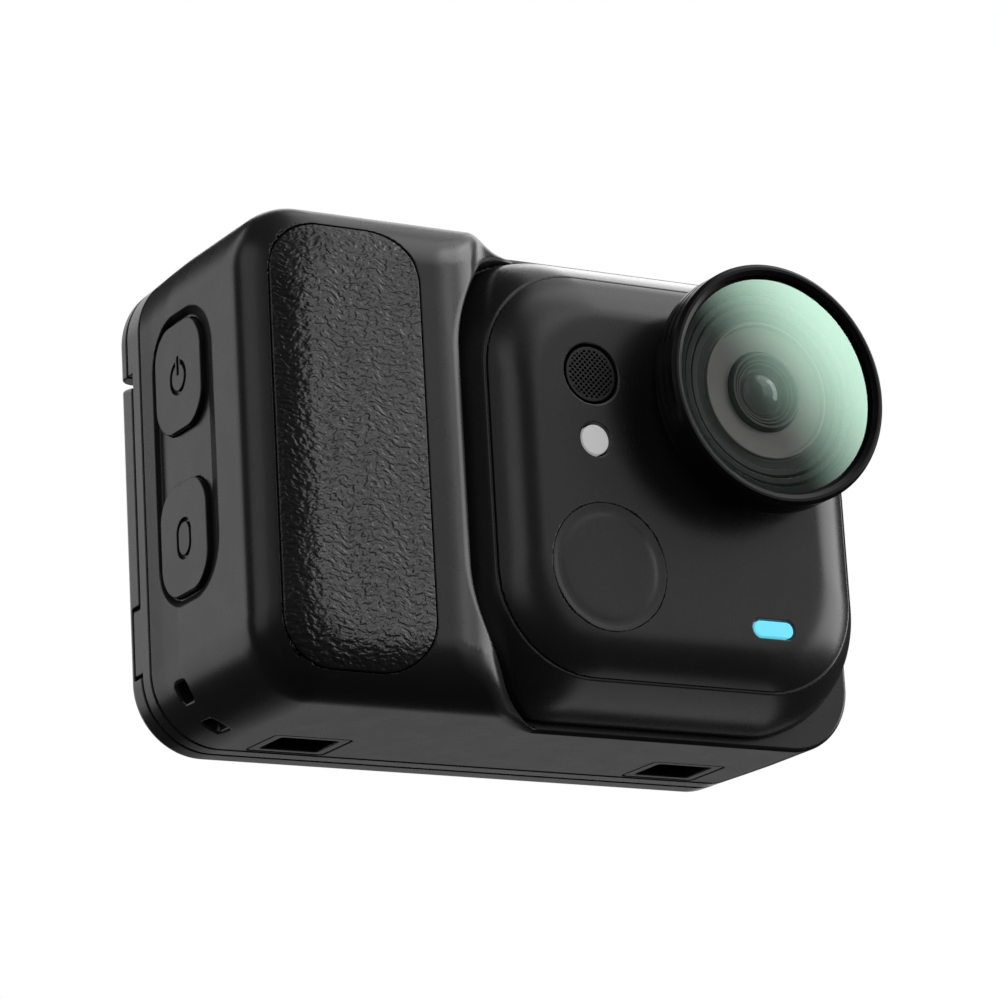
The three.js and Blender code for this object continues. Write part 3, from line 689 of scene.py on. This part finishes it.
# Painted glow: the white window gets a faint emission so it looks brighter than the lamps make it.
WHITE_PAINTED_GLOW = material("white_window_painted_glow", (0.78, 0.79, 0.80), 0.35, vary=0.04, grain=0.002,
                 Emission_Color=(1, 1, 1, 1), Emission_Strength=0.28)
BLUE = material("blue_light", (0.10, 0.58, 0.80), 0.35, vary=0.05,
                Emission_Color=(0.16, 0.72, 0.93, 1), Emission_Strength=0.75)
COATED = material("coated_glass", (0.62, 0.92, 0.74), 0.05, vary=0.02, rough_vary=0.01,
                  metallic=1.0, alpha=0.3)
UNCOATED = material("uncoated_glass", (0.02, 0.03, 0.025), 0.05, vary=0.02, rough_vary=0.01,
                    alpha=0.03)
LENS = material("lens_glass", (0.30, 0.34, 0.33), 0.03, vary=0.03, rough_vary=0.01,
                metallic=1.0, alpha=0.3)

# ---------------------------------------------------------------- smooth pieces
BLOCK_Y_TICKS = ticks(30.3, 33.4, [30.8, 32.2, 33], 0.1, 0.25)
BLOCK_Z_TICKS = ticks(36.9, 48.2, [37.4, 44.7, 47.5], 0.12, 0.4)
POD_X_SPOTS = [23.5, 30.8, 33.6, 35.1, 39.5, 43.7, 44.5, 53, 58, 63.6, 68.6]
POD_Z_SPOTS = [1.1, 7.9, 8.7, 10.5, 20.7, 23, 25.2, 28.5, 30.5, 36.4, 42, 46.4]
KEY_X_TICKS = ticks(0.0, 4.6, [0.3, 4.1], 0.05, 0.3)
KEY_Y_TICKS = ticks(13.1, 24.9, [14.3, 17.3, 18.3, 19, 19.7, 20.7, 23.7], 0.07, 0.14)
GRILLE_STEP = 0.045 * FINE

from_field(
    "front_shell_body", front_shell,
    ticks(-0.5, 70.5, [0, 0.5, 1.0, 2.1, 9.85, 17.9, 18.15, 21.4, 22.2, 51.85, 60.15, 68.1, 70],
          0.13, 0.5),
    ticks(1.9, 27.7, [2.4, 3.3, 11.3, 12.5, 13.8, 20.3, 24.2, 26.85, 27.25], 0.13, 0.45),
    ticks(-0.5, 48.2, [0, 0.5, 2.0, 12.2, 14.2, 23.7, 28.3, 32.8, 39.6, 45.2, 47.1, 47.7], 0.13, 0.5),
    SHELL, "dock", "front_shell")
from_field(
    "grip_leather", grip_pad,
    ticks(1.5, 18.2, [2.3, 17.6], 0.1, 0.3),
    ticks(1.9, 9.6, [2.3, 3.4], 0.1, 0.25),
    ticks(1.6, 45.6, [2.3, 44.9], 0.1, 0.35),
    GRIP, "dock", "grip_pad")
from_field(
    "rear_frame_body", rear_frame,
    ticks(-0.5, 70.5, [0.5, 4.7, 7.7, 12, 20, 50, 58, 62.3, 65.3, 69.5], 0.15, 0.6),
    ticks(27.2, 31.5, [27.5, 29.4, 30.4, 31.1], 0.1, 0.3),
    ticks(-0.5, 48.2, [0, 3.5, 6.5, 10, 32, 37.3, 41.2, 44.2, 47.7], 0.15, 0.6),
    SHELL, "dock", "rear_frame")
from_field(
    "screen_frame_body", screen_frame,
    ticks(-0.5, 70.5, [0.6, 2.2, 3.2, 12.1, 57.9, 66.8, 67.8, 69.4], 0.14, 0.6),
    ticks(29.3, 33.4, [29.7, 31.2, 32.4, 33.0], 0.1, 0.3),
    ticks(-0.5, 37.2, [0, 2.6, 7.1, 14.2, 30.9, 34.2, 36.4], 0.14, 0.6),
    SHELL, "screen", "screen_frame")
from_field(
    "hinge_block_pair_left", lambda x, y, z: both(hinge_blocks(x, y, z), x - 30),
    ticks(-0.5, 12.6, [0.6, 12], 0.12, 0.4), BLOCK_Y_TICKS, BLOCK_Z_TICKS,
    SHELL, "dock", "hinge_block_left")
from_field(
    "hinge_block_pair_right", lambda x, y, z: both(hinge_blocks(x, y, z), 40 - x),
    ticks(57.4, 70.5, [58, 69.4], 0.12, 0.4), BLOCK_Y_TICKS, BLOCK_Z_TICKS,
    SHELL, "dock", "hinge_block_right")
from_field(
    "hinge_arm_body", hinge_arm,
    ticks(12.0, 58.0, [12.4, 57.6], 0.1, 1.0),
    ticks(29.5, 33.6, [29.8, 30.6, 31.9, 33.1], 0.1, 0.25),
    ticks(31.0, 46.5, [31.3, 37, 43.5, 45, 46.1], 0.1, 0.4),
    SHELL, "screen", "hinge_arm")
from_field(
    "pod_cover", pod_front_cover,
    ticks(23, 69, POD_X_SPOTS, 0.12, 0.3),
    ticks(2.9, 5.6, [3.2, 5.2], 0.07, 0.15),
    ticks(0.6, 47, POD_Z_SPOTS, 0.12, 0.3),
    POD, "pod", "pod_front_cover")
from_field(
    "pod_body", pod_rear_shell,
    ticks(22.9, 69.1, [23.3, 26.8, 65.2, 68.7], 0.16, 0.32),
    ticks(5.1, 15.4, [5.4, 11.8, 12.1, 15], 0.08, 0.35),
    ticks(0.5, 47, [0.9, 4.5, 43, 46.5], 0.16, 0.32),
    POD, "pod", "pod_rear_shell")
from_field(
    "power_key", side_button(*POWER_KEY, power_icon), KEY_X_TICKS, KEY_Y_TICKS,
    ticks(27.5, 40.3, [28.6, 32.2, 33, 34, 35, 36, 39.2], 0.07, 0.14),
    KEY, "power_key", "power_button")
from_field(
    "ring_key", side_button(*RING_KEY, ring_icon), KEY_X_TICKS, KEY_Y_TICKS,
    ticks(11.6, 24.6, [12.7, 16.2, 17, 18, 19, 20, 23.5], 0.07, 0.14),
    KEY, "ring_key", "ring_button")
from_field(
    "shutter_key", top_button,
    ticks(6.8, 17.2, [7.7, 16.3], 0.12, 0.3),
    ticks(10.8, 21.2, [11.7, 20.3], 0.12, 0.3),
    ticks(44.1, 48.1, [45, 47.7], 0.1, 0.3),
    KEY, "top_key", "top_shutter_button")
from_field(
    "pod_release_key", release_button,
    ticks(30.2, 44.4, [31, 43.6], 0.12, 0.2),
    ticks(3.0, 5.4, [3.3, 4.9], 0.06, 0.15),
    ticks(7.2, 21.4, [8, 20.6], 0.12, 0.2),
    POD, "pod_button", "pod_release_button")
from_field(
    "microphone_grille", mic_grille,
    np.arange(33.65, 39.5, GRILLE_STEP),
    ticks(3.2, 4.5, [3.4], 0.05, 0.1),
    np.arange(30.5, 36.35, GRILLE_STEP),
    GRILLE, "pod", "mic_grille")
from_field(
    "status_light_bar", light_bar,
    ticks(53.1, 57.9, [53.3, 57.7], 0.06, 0.12),
    ticks(3.1, 4.5, [3.3], 0.05, 0.15),
    ticks(8.6, 10.6, [9, 10.2], 0.06, 0.1),
    BLUE, "pod", "light_bar")

for side, xc in zip(("left", "right"), SOCKET_XS):
    from_field(
        f"socket_liner_{side}_body", socket_liner(xc),
        ticks(xc - 4.3, xc + 4.3, [xc - 4, xc - 3.1, xc + 3.1, xc + 4], 0.08, 0.4),
        ticks(20.2, 27.0, [20.5, 21.2, 26, 26.7], 0.08, 0.4),
        ticks(-0.2, 6.6, [0, 5.5, 6.3], 0.08, 0.5),
        SHELL, "dock", f"socket_liner_{side}")

# ---------------------------------------------------------------- turned pieces
dress(lathe("lens_turret_body", [
    (8.9, -1.0, 0.1), (9.55, -1.0, 0.1), (9.55, 0.95, 0.1), (10.3, 0.95, 0.15), (10.5, 1.2, 0.1),
    (10.5, 2.85, 0.1), (9.15, 2.85, 0.02), (9.15, 5.6, 0.05), (8.9, 5.6, 0.05),
], LENS_X, LENS_Z, 180), POD, "pod", "lens_turret")
dress(lathe("guard_ring_body", [
    (11.05, -2.72, 0.06), (11.5, -3.0, 0.12), (11.8, -3.0, 0.12), (12.15, -2.7, 0.1),
    (12.15, -1.95, 0.05), (12.0, -1.87, 0.03), (12.0, -1.7, 0.03), (12.15, -1.62, 0.05),
    (12.15, -0.95, 0.05), (12.0, -0.87, 0.03), (12.0, -0.7, 0.03), (12.15, -0.62, 0.05),
    (12.15, 0.25, 0.15), (11.8, 0.6, 0.15), (9.9, 0.6, 0.1), (9.9, -1.5, 0.1), (11.1, -1.5, 0.1),
], LENS_X, LENS_Z, 180), ANODISED, "lens_guard", "lens_guard_ring")
dress(lathe("lens_trim_body", [
    (4.1, -0.05, 0.05), (6.5, -0.25, 0.03), (6.65, -0.62, 0.05), (6.85, -0.62, 0.05),
    (7.0, -0.3, 0.05), (7.9, -0.3, 0.05), (8.0, -0.65, 0.05), (8.6, -0.7, 0.08), (8.6, 0.4, 0.05),
    (4.1, 0.4, 0.05),
], LENS_X, LENS_Z, 180), TRIM, "pod", "lens_trim_plate")
dress(lathe("lens_barrel_body", [
    (0, 0.55, 0), (1.9, 0.42, 0.02), (2.2, 0.2, 0.05), (2.6, 0.32, 0.04), (2.75, -0.1, 0.03),
    (2.9, -0.1, 0.03), (3.0, 0.1, 0.03), (3.1, -0.3, 0.03), (3.25, -0.3, 0.03), (3.45, 0.0, 0.03),
    (3.55, -0.6, 0.05), (3.8, -0.6, 0.06), (3.8, 0.9, 0.05), (6.6, 1.2, 0.05), (6.6, 10.4, 0.1),
    (0, 10.4, 0),
], LENS_X, LENS_Z, 180), INNER, "pod", "lens_barrel")
dress(lathe("status_window", [
    (0, 3.3, 0), (1.49, 3.3, 0.1), (1.49, 4.3, 0.03), (0, 4.3, 0),
], DOT_X, DOT_Z, 48), WHITE_PAINTED_GLOW, "pod", "status_dot")


def dome(radius, rim, rise, back, steps=14):
    """Corners of a lens: domed front, flat back."""
    out = [(0, rim - rise, 0)]
    big = (radius ** 2 + rise ** 2) / (2 * rise)
    for k in range(1, steps):
        r = radius * k / steps
        out.append((r, rim - rise + big - math.sqrt(big * big - r * r), 0.001))
    return out + [(radius, rim, 0.02), (radius, back, 0.03), (0, back, 0)]


pane = lathe("guard_glass_pane", dome(10.75, -2.3, 0.45, -1.85), LENS_X, LENS_Z)
dress(pane, COATED, "lens_guard", "lens_guard_glass")
pane.data.materials.append(UNCOATED)
for face in pane.data.polygons:
    if face.normal.y > -0.5:
        face.material_index = 1
front_lens = lathe("front_lens", dome(2.2, -0.0, 0.94, 0.2), LENS_X, LENS_Z, 96)
dress(front_lens, LENS, "pod", "lens_front_element")

# ---------------------------------------------------------------- carried-over pieces
kept = {
    "hinge_shaft": STEEL, "power_switch": STEEL, "ring_switch": STEEL, "shutter_switch": STEEL, "port_door": SHELL,
    "usb_port": STEEL, "main_board": BOARD, "dock_battery": CELL, "base_magnet": STEEL, "speaker": GRILLE,
    "dock_contacts": GOLD, "dock_magnet_left": STEEL,
    "dock_magnet_right": STEEL, "screw_1": STEEL, "screw_2": STEEL, "screw_3": STEEL, "screw_4": STEEL,
    "display_panel": PANEL, "screen_glass": SCREEN, "image_sensor": SENSOR, "sensor_board": BOARD,
    "pod_steel_plate": STEEL, "pod_battery": CELL, "pod_board": BOARD, "mic_capsule": STEEL, "pod_contacts": GOLD,
    "pod_button_switch": STEEL,
}
for name, look in kept.items():
    ob = nodes[name]
    ob.data.materials.clear()
    ob.data.materials.append(look)
    ob.data.shade_smooth()
    edge = ob.modifiers.new("soft_edges", "BEVEL")
    edge.width, edge.segments, edge.angle_limit = 0.12 * MM, 2, math.radians(35)
    edge.harden_normals = True

# ---------------------------------------------------------------- floor, light, camera
scene = bpy.context.scene
scene.view_settings.view_transform = "Standard"


def sheet_mesh(name, corners, colour):
    mesh = bpy.data.meshes.new(name)
    mesh.from_pydata(corners, [], [(0, 1, 2, 3)])
    ob = bpy.data.objects.new(name, mesh)
    scene.collection.objects.link(ob)
    mesh.materials.append(material(name + "_surface", colour, 0.8, vary=0.02,
                                   Emission_Color=(1, 1, 1, 1), Emission_Strength=0.5))
    ob.visible_glossy = ob.visible_diffuse = ob.visible_shadow = False
    return ob


FLOOR_Z, FLOOR_HALF = -0.45, 6
sheet_mesh("floor", [
    (sx * FLOOR_HALF, sy * FLOOR_HALF, FLOOR_Z)
    for sx, sy in ((-1, -1), (1, -1), (1, 1), (-1, 1))], (0.82, 0.82, 0.82))

world = bpy.data.worlds.new("studio")
scene.world = world
world.use_nodes = True
wt = world.node_tree
wt.nodes.clear()
room, backdrop = wt.nodes.new("ShaderNodeBackground"), wt.nodes.new("ShaderNodeBackground")
room.inputs[0].default_value = (1, 1, 1, 1)
room.inputs[1].default_value = 0.03
backdrop.inputs[1].default_value = 1.0
backdrop.inputs[0].default_value = (1, 1, 1, 1)
path, pick = wt.nodes.new("ShaderNodeLightPath"), wt.nodes.new("ShaderNodeMixShader")
wt.links.new(path.outputs["Is Camera Ray"], pick.inputs[0])
wt.links.new(room.outputs[0], pick.inputs[1])
wt.links.new(backdrop.outputs[0], pick.inputs[2])
wt.links.new(pick.outputs[0], wt.nodes.new("ShaderNodeOutputWorld").inputs[0])

CENTRE = Vector((0, -0.01, 0.024))


def direction(azimuth, elevation):
    """Unit vector; azimuth 0 is in front of the lens and 90 on the grip side."""
    a, e = math.radians(azimuth), math.radians(elevation)
    return Vector((-math.sin(a) * math.cos(e), -math.cos(a) * math.cos(e), math.sin(e)))


def softbox(name, azimuth, elevation, wide, high, radiance, distance=1.0):
    """Area light that covers wide by high degrees, seen from the object."""
    light = bpy.data.lights.new(name, "AREA")
    light.shape = "RECTANGLE"
    light.size = 2 * distance * math.tan(math.radians(wide / 2))
    light.size_y = 2 * distance * math.tan(math.radians(high / 2))
    light.energy = radiance * math.pi * light.size * light.size_y
    ob = bpy.data.objects.new(name, light)
    toward = direction(azimuth, elevation)
    ob.location = CENTRE + toward * distance
    ob.rotation_euler = toward.to_track_quat("Z", "Y").to_euler()
    ob.visible_camera = False
    scene.collection.objects.link(ob)
    return ob


LIGHTS = [       # name, azimuth, elevation, width and height in degrees, radiance, pieces lit
    ("back_left_softbox", 147, 22, 27, 64, 0.92, "all"),
    ("base_softbox", -149, -16, 44, 22, 0.27, "all"),
    ("rim_softbox", -142, 34, 34, 30, 1.5, "all"),
    ("left_softbox", 79, 20, 38, 60, 0.78, "all"),
    ("near_left_softbox", 48, 20, 18, 50, 0.33, "all"),
    ("front_softbox", -33, 16, 26, 40, 0.56, "all"),
    ("front_strip", -17, 16, 8, 50, 0.75, "all"),
    ("rear_softbox", -162, 24, 66, 60, 0.9, "rear"),
    ("front_high_softbox", -40, 48, 50, 36, 0.95, "all but grip"),
    ("right_softbox", -72, 20, 40, 50, 3.3, "all"),
    ("top_softbox", -78, 60, 60, 42, 1.0, "all"),
    ("grip_softbox", -24, 18, 12, 50, 2.6, "grip"),
    ("pod_left_softbox", 24, 14, 20, 44, 1.1, "pod"),
    ("pod_low_softbox", -88, -60, 54, 20, 0.8, "pod"),
    ("pod_rim_softbox", -126, 46, 30, 26, 2.0, "pod"),
]
boxes = [(softbox(name, *shape), lit) for name, *shape, lit in LIGHTS]
CAMERA_SIDE = -30.84, 15.7       # azimuth and elevation that the guard glass mirrors to the camera


def glass_card():
    """Fading light that only the coated glass mirrors, brightest toward the upper right."""
    toward = direction(*CAMERA_SIDE)
    right = toward.cross(Vector((0, 0, 1))).normalized() * -1
    up = toward.cross(right)
    bright = (right * 0.83 + up * 0.56).normalized()
    ob = softbox("glass_light", *CAMERA_SIDE, 50, 50, 1.0, 0.7)
    ob.rotation_euler = Matrix((bright.cross(toward), bright, toward)).transposed().to_euler()
    ob.data.use_nodes = True
    t = ob.data.node_tree
    t.nodes.clear()
    place, part = t.nodes.new("ShaderNodeNewGeometry"), t.nodes.new("ShaderNodeSeparateXYZ")
    fade = t.nodes.new("ShaderNodeMapRange")
    fade.interpolation_type = "SMOOTHSTEP"
    for key, v in zip(("From Min", "From Max", "To Min", "To Max"), (0.51, 0.78, 0.0, 3.3)):
        fade.inputs[key].default_value = v
    glow = t.nodes.new("ShaderNodeEmission")
    t.links.new(place.outputs["Parametric"], part.inputs[0])
    t.links.new(part.outputs[1], fade.inputs["Value"])
    t.links.new(fade.outputs[0], glow.inputs["Strength"])
    t.links.new(glow.outputs[0], t.nodes.new("ShaderNodeOutputLight").inputs[0])
    return ob


def lit_only(names):
    group = bpy.data.collections.new("lit_" + names[0])
    for name in names:
        group.objects.link(bpy.data.objects[name])
    return group


pieces = [ob.name for ob in scene.objects if ob.type == "MESH" and ob.name != "guard_glass_pane"]
groups = {
    "rear": lit_only([
        "rear_frame_body", "screen_frame_body", "hinge_block_pair_left", "hinge_block_pair_right",
        "hinge_arm_body", "screen_glass"]),
    "all but grip": lit_only([name for name in pieces if name != "grip_leather"]),
    "all": lit_only(pieces),
    "pod": lit_only(["pod_cover", "pod_body", "pod_release_key"]),
    "grip": lit_only(["grip_leather"]),
}
for box, lit in boxes:
    box.light_linking.receiver_collection = groups[lit]
glass_card().light_linking.receiver_collection = lit_only(["guard_glass_pane"])

cam = bpy.data.objects.new("camera", bpy.data.cameras.new("camera"))
cam.data.lens, cam.data.sensor_width = 161.24, 36.0
cam.data.clip_start, cam.data.clip_end = 0.01, 50
cam.location = (-0.216519, -0.367167, -0.093577)
cam.rotation_euler = Euler([math.radians(a) for a in (105.7103, 3.1638, -29.9484)])
scene.collection.objects.link(cam)
scene.camera = cam
